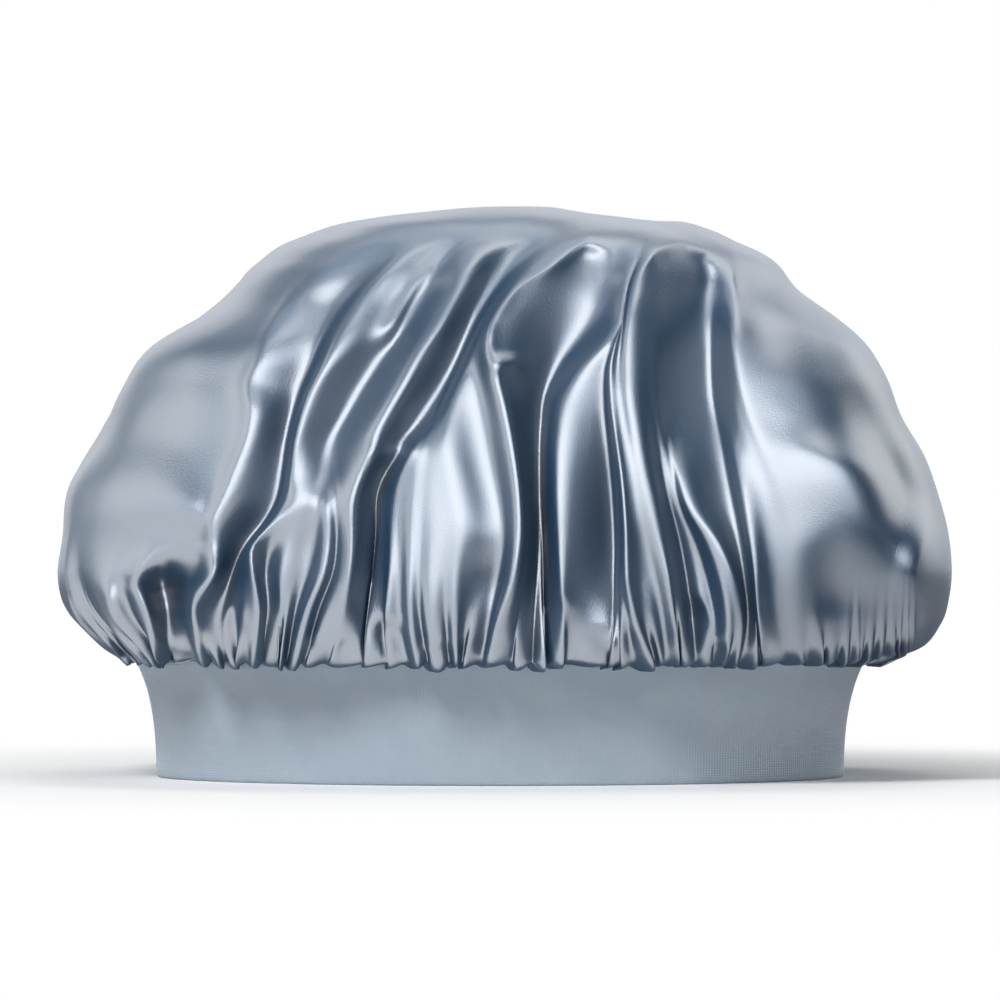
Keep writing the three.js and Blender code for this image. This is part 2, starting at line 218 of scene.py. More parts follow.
# Soft dents and swellings between the folds of the front: column, row, half width, half height in
# pixels, turn in degrees, and how far forwards they stand.
FRONT_DENTS = [
    (890, 455, 100, 165, -20, 18.0),
    (878, 462, 28, 52, -28, -4.0),
    (908, 565, 48, 60, 0, 8.0),
    (832, 585, 34, 30, 0, -4.0),
    (200, 505, 26, 20, 0, 3.0),
    (160, 500, 50, 40, 0, 2.0),
]

# Creases of the front, sharper than its folds: places as for the folds, and the half widths to the
# left and to the right of the line, going up it, in pixels.
FRONT_CREASES = {
    "hook": ([(211, 648, 2), (199, 608, 4), (204, 588, 5), (220, 577, 5), (225, 562, 5), (209, 551, 5),
              (172, 553, 4), (140, 568, 3), (127, 592, 2), (131, 637, 0)], 10, 9),
    "zigzag": ([(226, 546, 0), (222, 538, 1.5), (215, 522, 2), (196, 496, 0)], 11, 11),
    "pleat_lip": ([(262, 648, 2), (269, 606, 3), (266, 575, 3), (257, 542, 3), (262, 528, 0)], 10, 7),
    "panel_lip": ([(372, 468, 0), (380, 455, 2), (396, 452, 3), (413, 445, 2), (420, 436, 0)], 10, 7),
    "rim": ([(493, 622, 1), (510, 592, 2), (522, 530, 2), (519, 482, 2), (508, 425, 2), (497, 380, 2),
             (487, 346, 2), (490, 322, 2), (514, 287, 2), (560, 258, 0)], 12, 7),
    "flap": ([(497, 378, 0), (503, 366, 4), (514, 366, 4), (521, 376, 0)], 9, 8),
    "hollow_edge": ([(648, 656, 1), (630, 612, 2), (622, 575, 3), (621, 520, 3), (617, 470, 2),
                     (612, 430, 0)], 7, 11),
    "deep_arch": ([(496, 228, 0), (505, 217, 1), (532, 211, 2), (560, 215, 1), (578, 226, 0)], 14, 9),
    "hollow_arch": ([(532, 282, 0), (560, 258, 2), (585, 243, 3), (600, 254, 2), (606, 272, 1),
                     (618, 290, 0)], 16, 9),
    "great_arch": ([(627, 290, 0), (636, 268, 2), (652, 253, 3), (680, 243, 3), (706, 255, 3),
                    (720, 280, 2), (725, 302, 0)], 18, 9),
}

# Small pockets over the gathers of the front, each an arch that opens down to the seam: column and row
# of its top, column of its foot, half width in pixels, and how deep it is.
FRONT_POCKETS = [
    (174, 562, 186, 22, 6.0),
    (388, 607, 402, 18, 6.0),
    (440, 626, 442, 17, 4.0),
    (483, 650, 483, 10, 4.0),
    (556, 585, 566, 10, 3.0),
    (597, 615, 603, 9, 4.5),
    (622, 612, 628, 7, 4.0),
    (688, 588, 700, 13, 4.0),
    (713, 628, 714, 9, 5.0),
    (321, 626, 321, 10, 5.0),
    (352, 626, 350, 12, 4.0),
    (243, 596, 244, 10, 4.0),
    (757, 628, 762, 8, 4.0),
    (787, 644, 787, 8, 3.0),
]
POCKET_ROUND = 22  # rows of pixels over which a pocket's arch opens to its full width
POCKET_STEEPNESS = 2  # how much sooner it is at its full depth
POCKET_RIM = 1.5  # height of the cloth that stands up round a pocket
POCKET_RIM_WIDTH = 3  # in pixels

# Folds of the sides and the back, where the photograph doesn't reach, set out by chance
CHANCE_SEED = 11
BACK_FOLDS = 20
BACK_FROM = 92  # degrees from the front to the first one
BACK_FULL = 104  # degrees from the front from which they have their full height
BACK_LEAST = 0.35  # share of it that the first one has
BACK_SCATTER = 0.25  # how far they stray from even spacing, as a share of it
BACK_RIDGE = (1.5, 4.5)
BACK_VALLEY = (-9.0, -3.0)
BACK_LEAN = 3.0  # degrees
BACK_TOP_LATITUDE = (26, 72)
BACK_DYING = 28  # degrees up the crown over which one dies out

# Gathers at the seam
GATHERS = 104
GATHER_WIDTH = (0.45, 1.6)  # of the mean width
GATHER_DEPTH = (2.2, 4.2)
GATHER_CREST = (0.8, 3.2)
GATHER_REACH = (9.0, 42.0)  # how far up they go
GATHER_DYING = 1.5  # power by which they die out on the way
REACH_DIRECTIONS = (34, 44, 84, 100)  # degrees from the front, with the share of the reach kept there
REACH_SHARES = (1.0, 0.25, 0.25, 1.0)
GATHER_PINCH = (-0.3, 0.9)  # how far the cloth is drawn into a gather's crest, 1 for a closed valley
GATHER_SAG = (0.0, 2.2)  # how far a gather's crest hangs down
GATHER_DROP = 0.3  # share of a gather's own up and down movement that is kept
GATHER_LEAN = 1.6  # degrees by which a gather's crest leans over
TUCK_SHARE = np.array([0.0, 0.0, 0.2, 0.7])  # of the gathers, on the rings turned under

# Unevenness of the loose cloth, long and short: size and height
CLOTH_WAVES = ((46, 1.2), (17, 0.35))
STEADY_RINGS = 4  # rings from the gathers up that stay as they are
CORNER_EVENINGS = 3  # how often sharp corners of the cloth are evened out

SATIN_THICKNESS = 0.3

# Band: one strip of knit, folded double at the hem
FLARE = 7.5  # how far the crown pulls the band outwards at the seam
FLARE_POWER = 3
KNIT_PLY = 0.9
PLY_GAP = 0.4
PLY_RINGS = 26
FOLD_RINGS = 9
BAND_COLUMNS = 720
BAND_WAVES = ((60, 0.9), (24, 0.3))  # size and height of its unevenness
CLOSING_GROOVE = 0.7  # depth of the seam that closes the strip, at the back
CLOSING_HALF_WIDTH = 1.3
CLOSING_SWELL = 0.5  # height of the seam allowances beside it
CLOSING_ALLOWANCE = 5  # how far they reach to each side
WAVE_RISE = 0.5  # power by which the unevenness grows from the hem and the seam

# Braided elastic inside the seam
ELASTIC_RIBS = 8
RIB_STEPS = 4
ELASTIC_RIB_HEIGHT = 0.12
ELASTIC_THICKNESS = 0.5
ELASTIC_WAVE = 0.25
ELASTIC_WAVES = (60, 7)  # numbers of waves round the band, the second swelling the first

# Overlock stitches over the raw edges
STITCHES = 264
THREAD_RADIUS = 0.22
LOOP_MARGIN = 0.3  # how far the loops stay inside the solid that they stand for
LOOP_DEPTH = 2.0  # how far inside the band they go
LOOP_CORNER = 0.5
LOOP_SLANT = 0.8  # share of a stitch that a loop takes up
NEEDLE_STEPS = 6  # points in each stitch of the needle thread
NEEDLE_RISE = 0.5  # power by which it comes up out of the cloth
NEEDLE_SINK = 0.1
NEEDLE_HEIGHT = 0.6  # over the lower end of the loops

# Studio, in metres. The lamps only light, and what the satin mirrors is the boards, which glow, but only
# mirrored rays see them, so their colours are painted reflections.
# Lamps: place, width and height, and watts.
LAMPS = {
    "overhead": ((0.15, 0.2, 1.5), (1.0, 0.5), 5),
    "left_key": ((-0.9, -1.35, 1.5), (0.6, 0.6), 38),
    "right_fill": ((1.2, -1.6, 1.0), (0.7, 0.7), 9),
    "back_right": ((1.0, 1.4, 1.2), (1.2, 1.0), 5),
}
LAMP_AIM = (0, 0, 0.1)
# Boards: place, turn in degrees, width and height, place of a spot on it, how far from the spot its
# colour begins and ends to change, the colours of its glow at the spot and at the rim, and the strength of
# the glow.
BOARDS = {
    "front_board": ((0.3, -1.7, 0.75), (90, 0, 0), (4.2, 1.5), (-0.5, 0), (0.6, 1.9),
                    "#ffffff", "#c4ccd4", 9.5),
    "left_board": ((-1.7, -0.1, 0.75), (90, 0, 90), (2.4, 1.5), (0, 0), (0.4, 1.4),
                   "#ffffff", "#c4ccd4", 4.8),
    "top_board": ((0.2, 0, 1.85), (0, 0, 0), (2.4, 2.4), (-1.0, 0), (0.4, 1.6),
                  "#a0aab4", "#ffffff", 5.5),
    # Its dark glow is a painted dark reflection in the cloth that faces right.
    "right_board": ((1.7, -0.15, 0.85), (90, 0, 90), (1.3, 1.8), (0, -0.2), (0.7, 1.2),
                    "#0a1a2c", "#2c4054", 1.0),
    "back_board": ((1.36, 1.14, 0.9), (90, 0, -50), (1.4, 1.8), (0, 0), (0.4, 1.0),
                   "#ffffff", "#c4ccd4", 5.5),
    "rear_board": ((-0.2, 1.7, 0.75), (90, 0, 0), (2.6, 1.5), (0, 0), (0.5, 1.5),
                   "#ffffff", "#c4ccd4", 6),
    # Dark at its spot in front of the bonnet and white further out: a painted dark reflection in the cloth
    # that faces down.
    "table_board": ((0, -0.55, 0.002), (0, 0, 0), (3.2, 1.1), (0.75, 0.3), (0.45, 0.8),
                    "#0a1a2c", "#ffffff", 4.2),
}
FLOOR_SIZE = 40
SHADOW_REACH = (0.1, 0.35)  # from the middle, where the floor's shadow begins and ends to fade
CAMERA_DISTANCE = 3.0
CAMERA_TILT = 0.6  # degrees down
SENSOR = 36


def curve_through(places, values, at):
    """Smooth curve through values at rising places, read at the places asked for."""
    places = np.asarray(places, float)
    values = np.asarray(values, float)
    slopes = np.gradient(values, places)
    at = np.clip(at, places[0], places[-1])
    k = np.clip(np.searchsorted(places, at) - 1, 0, len(places) - 2)
    span = places[k + 1] - places[k]
    s = (at - places[k]) / span
    return (
        (1 + 2 * s) * (1 - s) ** 2 * values[k]
        + s * (1 - s) ** 2 * span * slopes[k]
        + s * s * (3 - 2 * s) * values[k + 1]
        + s * s * (s - 1) * span * slopes[k + 1]
    )


def photo_side(column):
    """X of a column of pixels."""
    return (np.asarray(column, float) - PHOTO_MIDDLE) * PHOTO_MM


def photo_row(height):
    """Row of pixels at a height."""
    return PHOTO_HEM - np.asarray(height, float) / PHOTO_MM


def outline_side(outline, height):
    """X of one side of the outline at a height."""
    columns, rows = np.array(sorted(outline, key=lambda p: p[1]), float).T
    return photo_side(curve_through(rows, columns, photo_row(height)))


class Rings:
    """The smooth form of the crown: one oval for each ring, from the raw edge to the top."""

    def __init__(self):
        tuck = np.array(TUCK)
        turn = np.radians(np.linspace(90, 0, UNDER_RINGS))
        rise = np.radians(np.linspace(0, TOP_LATITUDE, DOME_RINGS + 1)[1:])
        under_z = WIDEST_HEIGHT - (WIDEST_HEIGHT - LOOP_HEIGHT) * np.sin(turn)
        dome_z = WIDEST_HEIGHT + (crown_top - WIDEST_HEIGHT) * np.sin(rise) ** RISE_FULLNESS
        loop_depth = seam_half_depth + LOOP_REACH
        under_depth = loop_depth + (WIDEST_HALF_DEPTH - loop_depth) * np.cos(turn) ** UNDER_FULLNESS
        dome_depth = WIDEST_HALF_DEPTH * np.cos(rise) ** DEPTH_FULLNESS
        shown_z = np.concatenate([under_z, dome_z])
        left = outline_side(LEFT_OUTLINE, shown_z)
        right = outline_side(RIGHT_OUTLINE, shown_z)
        tuck_width = seam_half_width + tuck[:, 0]
        self.height = np.concatenate([SEAM_HEIGHT + tuck[:, 1], shown_z])
        self.middle = np.concatenate([0 * tuck_width, (left + right) / 2])
        self.half_width = np.concatenate([tuck_width, (right - left) / 2])
        self.half_depth = np.concatenate([seam_half_depth + tuck[:, 0], under_depth, dome_depth])
        self.latitude = np.concatenate([0 * tuck_width, 0 * turn, np.degrees(rise)])
        swell = FOOT_SHARE + (1 - FOOT_SHARE) * np.cos(turn) ** FOOT_FULLNESS
        self.fold_share = np.concatenate([tuck[:, 2], swell, 1 + 0 * rise])
        full = PLAN_FULLNESS - 2
        self.plan = np.concatenate([2 + 0 * tuck_width, 2 + full * np.cos(turn), 2 + full + 0 * rise])
        self.row = photo_row(self.height)
        self.count = len(self.height)
        self.even_middle = self.evened(self.middle)
        self.even_half_width = self.evened(self.half_width)

    def evened(self, values):
        """The values without the humps of the outline, for the back."""
        dome = slice(self.count - DOME_RINGS, None)
        smooth = np.polyval(np.polyfit(self.latitude[dome], values[dome], EVEN_DEGREE), self.latitude)
        return values + (smooth - values) * np.interp(self.latitude, EVEN_LATITUDES, (0, 1, 1, 0))


rings = Rings()


def direction_of(columns, rows):
    """Direction in degrees from the front of a place in the photograph, on the smooth form."""
    shown = slice(len(TUCK), None)
    rising = np.argsort(rings.row[shown])
    rows_up = rings.row[shown][rising]
    middle = np.interp(rows, rows_up, rings.middle[shown][rising])
    half_width = np.interp(rows, rows_up, rings.half_width[shown][rising])
    sine = np.clip((photo_side(columns) - middle) / half_width, -0.999, 0.999)
    return np.degrees(np.arcsin(sine))


def front_fold(points):
    """Direction and height of a fold of the front at each ring, and how much of it is left there."""
    columns, rows, heights = np.array(sorted(points, key=lambda p: p[1]), float).T
    at = np.clip(rings.row, rows[0], rows[-1])
    direction = direction_of(curve_through(rows, columns, at), at)
    height = curve_through(rows, heights, at) * rings.fold_share
    return direction, height, np.clip(1 - (rows[0] - rings.row) / FOLD_FADE, 0, 1)


def back_folds(chance):
    """Directions and heights of the folds of the sides and the back at each ring."""
    span = (360 - 2 * BACK_FROM) / (BACK_FOLDS - 1)
    for k in range(BACK_FOLDS):
        foot = BACK_FROM + span * (k + chance.uniform(-BACK_SCATTER, BACK_SCATTER))
        tall = chance.uniform(*(BACK_VALLEY if k % 2 else BACK_RIDGE))
        tall *= np.interp(min(foot, 360 - foot), (BACK_FROM, BACK_FULL), (BACK_LEAST, 1))
        lean = chance.uniform(-BACK_LEAN, BACK_LEAN)
        top = chance.uniform(*BACK_TOP_LATITUDE)
        alive = np.clip((top + BACK_DYING / 2 - rings.latitude) / BACK_DYING, 0, 1)
        alive = alive * alive * (3 - 2 * alive)
        direction = foot + lean * np.clip(rings.latitude / top, 0, 1)
        yield direction, tall * alive * rings.fold_share, 1 + 0 * alive


def between(places, at):
    """For places round the cloth in degrees, the pair on either side of each place asked for, as
    numbers into the places, and how far from the first to the second it lies."""
    count = len(places)
    first = np.searchsorted(places, at, side="right") - 1
    second = (first + 1) % count
    span = (places[second] - places[first]) % 360
    share = ((at - places[first]) % 360) / span
    return first % count, second, share


def soften(values, width):
    """Evens out values round the cloth, over a width in columns that each ring has for itself."""
    waves = np.fft.rfftfreq(values.shape[1])
    kept = np.exp(-2 * (math.pi * waves * width[:, None]) ** 2)
    return np.fft.irfft(np.fft.rfft(values, axis=1) * kept, values.shape[1], axis=1)


def crease_height(column, row, points, left_width, right_width):
    """How far a crease stands out: highest on its line, and falling off to each side."""
    nearest = np.full(column.shape, np.inf)
    height = np.zeros(column.shape)
    for (x0, y0, h0), (x1, y1, h1) in zip(points, points[1:]):
        run, rise = x1 - x0, y1 - y0
        share = np.clip(((column - x0) * run + (row - y0) * rise) / (run * run + rise * rise), 0, 1)
        right, down = column - x0 - share * run, row - y0 - share * rise
        far = np.hypot(right, down)
        width = np.where(run * down - rise * right > 0, right_width, left_width)
        own = (h0 + (h1 - h0) * share) * np.exp(-((far / width) ** 2))
        height = np.where(far < nearest, own, height)
        nearest = np.minimum(far, nearest)
    return height


def main_folds(chance, cloth):
    """The main folds at each ring and column of cloth: how far those of the front stand forwards, how
    far those of the sides and the back stand outwards, and by how many degrees they turn the cloth."""
    folds = [front_fold(points) for points in FRONT_FOLDS.values()]
    folds += list(back_folds(chance))
    feet = [direction[len(TUCK)] for direction, _, _ in folds]
    for k in range(1, len(feet)):
        feet[k] = max(feet[k], feet[k - 1] + LEAST_COLUMN_GAP)
    feet = np.array(feet)
    own = np.array([direction - foot for (direction, _, _), foot in zip(folds, feet)]).T
    left = np.array([share for _, _, share in folds]).T
    tall = np.array([height for _, height, _ in folds]).T * left

    # The folds carry the columns of cloth with them, and one that has died out goes with its neighbours
    turned = own.copy()
    for r in range(1, rings.count):
        alive = left[r] > WHOLE
        moved = np.interp(feet, feet[alive], (own[r] - own[r - 1])[alive], period=360)
        turned[r] = np.where(alive, own[r], turned[r - 1] + moved)

    # From the folds to the columns between them
    places = (feet + 180) % 360 - 180
    order = np.argsort(places)
    first, second, share = between(places[order], cloth)
    first, second = order[first], order[second]
    soft = np.interp(rings.latitude, SOFT_LATITUDES, SOFT_COLUMNS)
    turn = soften(turned[:, first] * (1 - share) + turned[:, second] * share, soft)
    ease = 0.5 - 0.5 * np.cos(math.pi * share)
    in_front = np.arange(len(folds)) < len(FRONT_FOLDS)
    heights = []
    for part in (tall * in_front, tall * ~in_front):
        part = part[:, first] * (1 - ease) + part[:, second] * ease
        heights.append(soften(part, soft))
    forward, outward = heights
    dome = forward[len(TUCK) + UNDER_RINGS:]
    for _ in range(RING_SOFTENINGS):
        dome[1:-1] = 0.5 * dome[1:-1] + 0.25 * (dome[2:] + dome[:-2])
    return forward, outward, turn


def seam_gathers(chance, cloth):
    """The gathers, valleys with round crests between them, each dying out at its own height: how far
    they stand out, by how many degrees they turn the cloth, and how far they hang down."""
    def draw(limits):
        return np.array([chance.uniform(*limits) for _ in range(GATHERS)])

    widths = draw(GATHER_WIDTH)
    widths *= 360 / widths.sum()
    spots = -180 + np.cumsum(widths) - widths / 2
    depth = draw(GATHER_DEPTH)
    crest = draw(GATHER_CREST)
    lean = draw((-GATHER_LEAN, GATHER_LEAN))
    reach = draw(GATHER_REACH)
    reach *= np.interp(np.abs(spots), REACH_DIRECTIONS, REACH_SHARES)
    pinch = draw(GATHER_PINCH)
    sag = draw(GATHER_SAG)
    above = np.clip(rings.height[:, None] - LOOP_HEIGHT, 0, None)
    shown = np.exp(-((above / reach) ** GATHER_DYING))
    shown[:len(TUCK)] *= TUCK_SHARE[:, None]
    first, second, share = between(spots, cloth)
    swell = 0.5 - 0.5 * np.cos(2 * math.pi * share)
    valley = (shown * depth)[:, first] * (1 - share) + (shown * depth)[:, second] * share
    ripple = (shown * crest)[:, first] * swell - valley * (1 - swell)
    drawn = (pinch * widths)[first] / (2 * math.pi) * np.sin(2 * math.pi * share)
    turn = shown[:, first] * (lean[first] * swell - drawn)
    return ripple, turn, (shown * sag)[:, first] * swell


def smooth_form(angle):
    """Places on the smooth form for directions at each ring, with the ways out of it there, and the
    cosines of the directions."""
    sine, cosine = np.sin(angle), np.cos(angle)
    plan = rings.plan[:, None]
    deep = np.sign(cosine) * np.clip(1 - np.abs(sine) ** plan, 0, 1) ** (1 / plan)
    behind = np.clip(-cosine / EVEN_FROM, 0, 1)
    middle = rings.middle[:, None] * (1 - behind) + rings.even_middle[:, None] * behind
    half_width = rings.half_width[:, None] * (1 - behind) + rings.even_half_width[:, None] * behind
    place = np.stack([
        middle + half_width * sine,
        -rings.half_depth[:, None] * deep,
        rings.height[:, None] + 0 * sine,
    ], axis=2)
    round_it = np.roll(place, -1, 1) - np.roll(place, 1, 1)
    out = np.cross(round_it, np.gradient(place, axis=0))
    out /= np.linalg.norm(out, axis=2, keepdims=True)
    return place, out, cosine


def front_relief(place):
    """How far the dents and swellings of the front stand forwards, and how far its creases and pockets
    stand out, by their places in the photograph."""
    column = PHOTO_MIDDLE + place[:, :, 0] / PHOTO_MM
    row = photo_row(place[:, :, 2])
    swelling = np.zeros(column.shape)
    for x, y, half_width, half_height, tilt, size in FRONT_DENTS:
        tilt = math.radians(tilt)
        across = (column - x) * math.cos(tilt) + (row - y) * math.sin(tilt)
        along = (row - y) * math.cos(tilt) - (column - x) * math.sin(tilt)
        swelling += size * np.exp(-((across / half_width) ** 2) - (along / half_height) ** 2)
    detail = np.zeros(column.shape)
    for points, left_width, right_width in FRONT_CREASES.values():
        detail += crease_height(column, row, points, left_width, right_width)
    foot_row = photo_row(LOOP_HEIGHT)
    for x, y, foot, half_width, size in FRONT_POCKETS:
        below = np.clip(row - y, 0, None)
        off = column - x - (foot - x) * below / (foot_row - y)
        opened = half_width * np.sqrt(np.clip(below / POCKET_ROUND, 1e-6, 1))
        sunk = np.clip(below / POCKET_ROUND * POCKET_STEEPNESS, 0, 1)
        detail -= size * sunk * np.clip(1 - (off / opened) ** 2, 0, 1)
        detail += POCKET_RIM * sunk * np.exp(-(((np.abs(off) - opened) / POCKET_RIM_WIDTH) ** 2))
    return swelling, detail


def crown_grid():
    """The crown as rings of points: the smooth form, moved by its folds, dents and gathers."""
    chance = random.Random(CHANCE_SEED)
    side = np.linspace(90, 180, SIDE_COLUMNS, endpoint=False)
    cloth = np.concatenate([side - 270, np.linspace(-90, 90, FRONT_COLUMNS, endpoint=False), side])
    top_fade = np.interp(rings.latitude, TOP_FADE, (1, 0))[:, None]
    forward, outward, turn = main_folds(chance, cloth)
    ripple, gather_turn, hang = seam_gathers(chance, cloth)
    place, out, cosine = smooth_form(np.radians(cloth + (turn * top_fade + gather_turn)))
    swelling, detail = front_relief(place)

    # Folds of the front stand towards the viewer, and towards the sides and at the back square to the
    # cloth, and the gathers are level
    facing = np.clip(cosine / SIDE_FADE, 0, 1)
    eased = detail * facing * facing * (3 - 2 * facing)
    forward += soften(eased, np.full(rings.count, CREASE_SOFTNESS))
    forward *= np.sqrt(rings.fold_share)[:, None] * top_fade
    square = np.clip((SQUARE_FROM - cosine) / (SQUARE_FROM - SQUARE_TO), 0, 1)[:, :, None]
    towards = out * square + np.array([0, -1, 0]) * (1 - square)
    towards /= np.linalg.norm(towards, axis=2, keepdims=True)
    place += towards * forward[:, :, None]
    place[:, :, 1] -= swelling * facing * rings.fold_share[:, None]
    level = out * np.array([1, 1, GATHER_DROP])
    place += out * outward[:, :, None] + level * ripple[:, :, None]
    place[:, :, 2] -= hang

    for size, strength in CLOTH_WAVES:
        for r in range(len(TUCK) + STEADY_RINGS, rings.count):
            for c in range(len(cloth)):
                place[r, c] += out[r, c] * strength * noise.noise(Vector(place[r, c] / size))

    free = slice(len(TUCK), rings.count - 1)
    for _ in range(CORNER_EVENINGS):
        even = 0.25 * (np.roll(place, 1, 1) + np.roll(place, -1, 1))
        even[1:-1] += 0.25 * (place[2:] + place[:-2])
        place[free] = 0.5 * place[free] + 0.5 * even[free]
    return place


def sheet_of(name, grid, flat, top=None, closed_up=False):
    """A mesh of rings of points, round in the column direction, with an optional point at the top, and
    with the places of its points on the flat cloth, in metres, as its texture coordinates."""
    count, columns = grid.shape[:2]
    points = (grid.reshape(-1, 3) * MM).tolist()
    faces = []
    corners = []
    for r in range(count if closed_up else count - 1):
        s = (r + 1) % count
        for c in range(columns):
            d = (c + 1) % columns
            faces.append((r * columns + c, r * columns + d, s * columns + d, s * columns + c))
            corners += [flat[r][c], flat[r][c + 1], flat[r + 1][c + 1], flat[r + 1][c]]
    if top is not None:
        points.append([value * MM for value in top])
        r = count - 1
        for c in range(columns):
            faces.append((r * columns + c, r * columns + (c + 1) % columns, len(points) - 1))
            corners += [flat[r][c], flat[r][c + 1], flat[r + 1][c]]
    mesh = bpy.data.meshes.new(name)
    mesh.from_pydata(points, [], faces)
    mesh.polygons.foreach_set("use_smooth", [True] * len(faces))
    laid = mesh.uv_layers.new(name="flat_cloth")
    laid.data.foreach_set("uv", (np.array(corners) * MM).ravel())
    piece = bpy.data.objects.new(name, mesh)
    bpy.context.scene.collection.objects.link(piece)
    return piece


def disc_places(grid, top):
    """Places of a gathered disc's points when it lies flat, with its middle at the top of the crown."""
    whole = np.concatenate([grid, np.broadcast_to(top, (1, grid.shape[1], 3))])
    steps = np.linalg.norm(np.diff(whole, axis=0), axis=2).mean(axis=1)
    far = np.concatenate([np.cumsum(steps[::-1])[::-1], [0]])
    turn = np.linspace(0, 2 * math.pi, grid.shape[1] + 1)
    return np.stack([np.outer(far, np.sin(turn)), -np.outer(far, np.cos(turn))], axis=2)


def strip_places(grid, closed_up=False):
    """Places of a strip's points when it lies flat: along it round the band, and across it."""
    whole = np.concatenate([grid, grid[:1]]) if closed_up else grid
    steps = np.linalg.norm(np.diff(whole, axis=0), axis=2).mean(axis=1)
    across = np.concatenate([[0], np.cumsum(steps)])
    around = np.linalg.norm(np.diff(grid[0], axis=0, append=grid[0][:1]), axis=1)
    along = np.concatenate([[0], np.cumsum(around)])
    return np.stack(np.broadcast_arrays(along[None, :], across[:, None]), axis=2)


def band_oval(out, height, turn):
    """A point a distance out of the band's outer face, at a height, in a direction from the front."""
    flare = FLARE * np.clip(height / SEAM_HEIGHT, 0, 1) ** FLARE_POWER - FLARE
    width = seam_half_width + flare + out
    depth = seam_half_depth + flare + out
    return np.stack(np.broadcast_arrays(width * np.sin(turn), -depth * np.cos(turn), height), axis=-1)


def linear(colour):
    """An sRGB hex colour as linear red, green, blue and alpha."""
    parts = [int(colour[k:k + 2], 16) / 255 for k in (1, 3, 5)]
    return [c / 12.92 if c <= 0.04045 else ((c + 0.055) / 1.055) ** 2.4 for c in parts] + [1.0]


def add(tree, kind, settings=None, **links):
    """Adds a node: settings are its own values by name, and links its inputs, by name or as n_ and their
    number, each as a socket to link or a value."""
    node = tree.nodes.new(kind)
    for name, value in (settings or {}).items():
        setattr(node, name, value)
    for name, value in links.items():
        socket = node.inputs[int(name[2:]) if name.startswith("n_") else name.replace("_", " ")]
        if isinstance(value, bpy.types.NodeSocket):
            tree.links.new(value, socket)
        else:
            socket.default_value = value
    return node


def new_material(name):
    """An empty material and its tree of nodes."""
    material = bpy.data.materials.new(name)
    material.use_nodes = True
    material.node_tree.nodes.clear()
    return material, material.node_tree


def polyester_satin():
    """Woven polyester satin: long smooth floats of navy thread lie side by side, so that it mirrors the
    studio broadly, with a fine grain. Its sheen is kept the same at every angle, so that rims and the top
    don't flash white where the cloth is seen edge on."""
    material, tree = new_material("polyester_satin")
    place = add(tree, "ShaderNodeTexCoord").outputs["Object"]
    thread = 0.4 * MM  # coarser than a real one of about 0.1 mm, so that it shows
    grain = add(tree, "ShaderNodeTexNoise", Vector=place, Scale=1 / thread, Detail=0.0)
    bump = add(tree, "ShaderNodeBump", Height=grain.outputs[0], Strength=0.3, Distance=0.0002)
    dye = add(tree, "ShaderNodeBsdfDiffuse", Normal=bump.outputs[0], Color=linear("#1a364e"))
    sheen = add(tree, "ShaderNodeBsdfGlossy", Normal=bump.outputs[0], Roughness=0.31,
                Color=linear("#ffffff"))
    shader = add(tree, "ShaderNodeMixShader", Fac=0.1, n_1=dye.outputs[0], n_2=sheen.outputs[0])
    add(tree, "ShaderNodeOutputMaterial", Surface=shader.outputs[0])
    return material


def stretch_knit():
    """Fine cotton and elastane jersey: matte, with upright rows of tiny loops that soften its light,
    drawn a little coarser than they are so that they show."""
    material, tree = new_material("stretch_knit")
    place = add(tree, "ShaderNodeUVMap", {"uv_map": "flat_cloth"}).outputs[0]
    wale = 1.1 * MM
    course = 0.8 * MM
    blotch = 14 * MM
    loop_slant = 2.0
    loop_height = 0.35
    split = add(tree, "ShaderNodeSeparateXYZ", Vector=place)
    across = add(tree, "ShaderNodeMath", {"operation": "MULTIPLY"}, n_0=split.outputs[0],
                 n_1=math.pi / wale)
    rows = add(tree, "ShaderNodeMath", {"operation": "SINE"}, n_0=across.outputs[0])
    rows = add(tree, "ShaderNodeMath", {"operation": "ABSOLUTE"}, n_0=rows.outputs[0])
    slant = add(tree, "ShaderNodeMath", {"operation": "MULTIPLY"}, n_0=rows.outputs[0],
                n_1=loop_slant)
    upward = add(tree, "ShaderNodeMath", {"operation": "MULTIPLY_ADD"}, n_0=split.outputs[1],
                 n_1=2 * math.pi / course, n_2=slant.outputs[0])
    loops = add(tree, "ShaderNodeMath", {"operation": "SINE"}, n_0=upward.outputs[0])
    height = add(tree, "ShaderNodeMath", {"operation": "MULTIPLY_ADD"}, n_0=loops.outputs[0],
                 n_1=loop_height, n_2=rows.outputs[0])
    bump = add(tree, "ShaderNodeBump", Height=height.outputs[0], Strength=0.35, Distance=0.0002)
    patch = add(tree, "ShaderNodeTexNoise", Vector=place, Scale=1 / blotch, Detail=4.0)
    colour = add(tree, "ShaderNodeMix", {"data_type": "RGBA"}, n_0=patch.outputs[0], n_6=linear("#93a0ac"),
                 n_7=linear("#a3aeb9"))
    shader = add(tree, "ShaderNodeBsdfPrincipled", Base_Color=colour.outputs[2], Normal=bump.outputs[0])
    shader.inputs["Roughness"].default_value = 0.85
    shader.inputs["Specular IOR Level"].default_value = 0.12
    shader.inputs["Sheen Weight"].default_value = 0.1
    add(tree, "ShaderNodeOutputMaterial", Surface=shader.outputs[0])
    return material


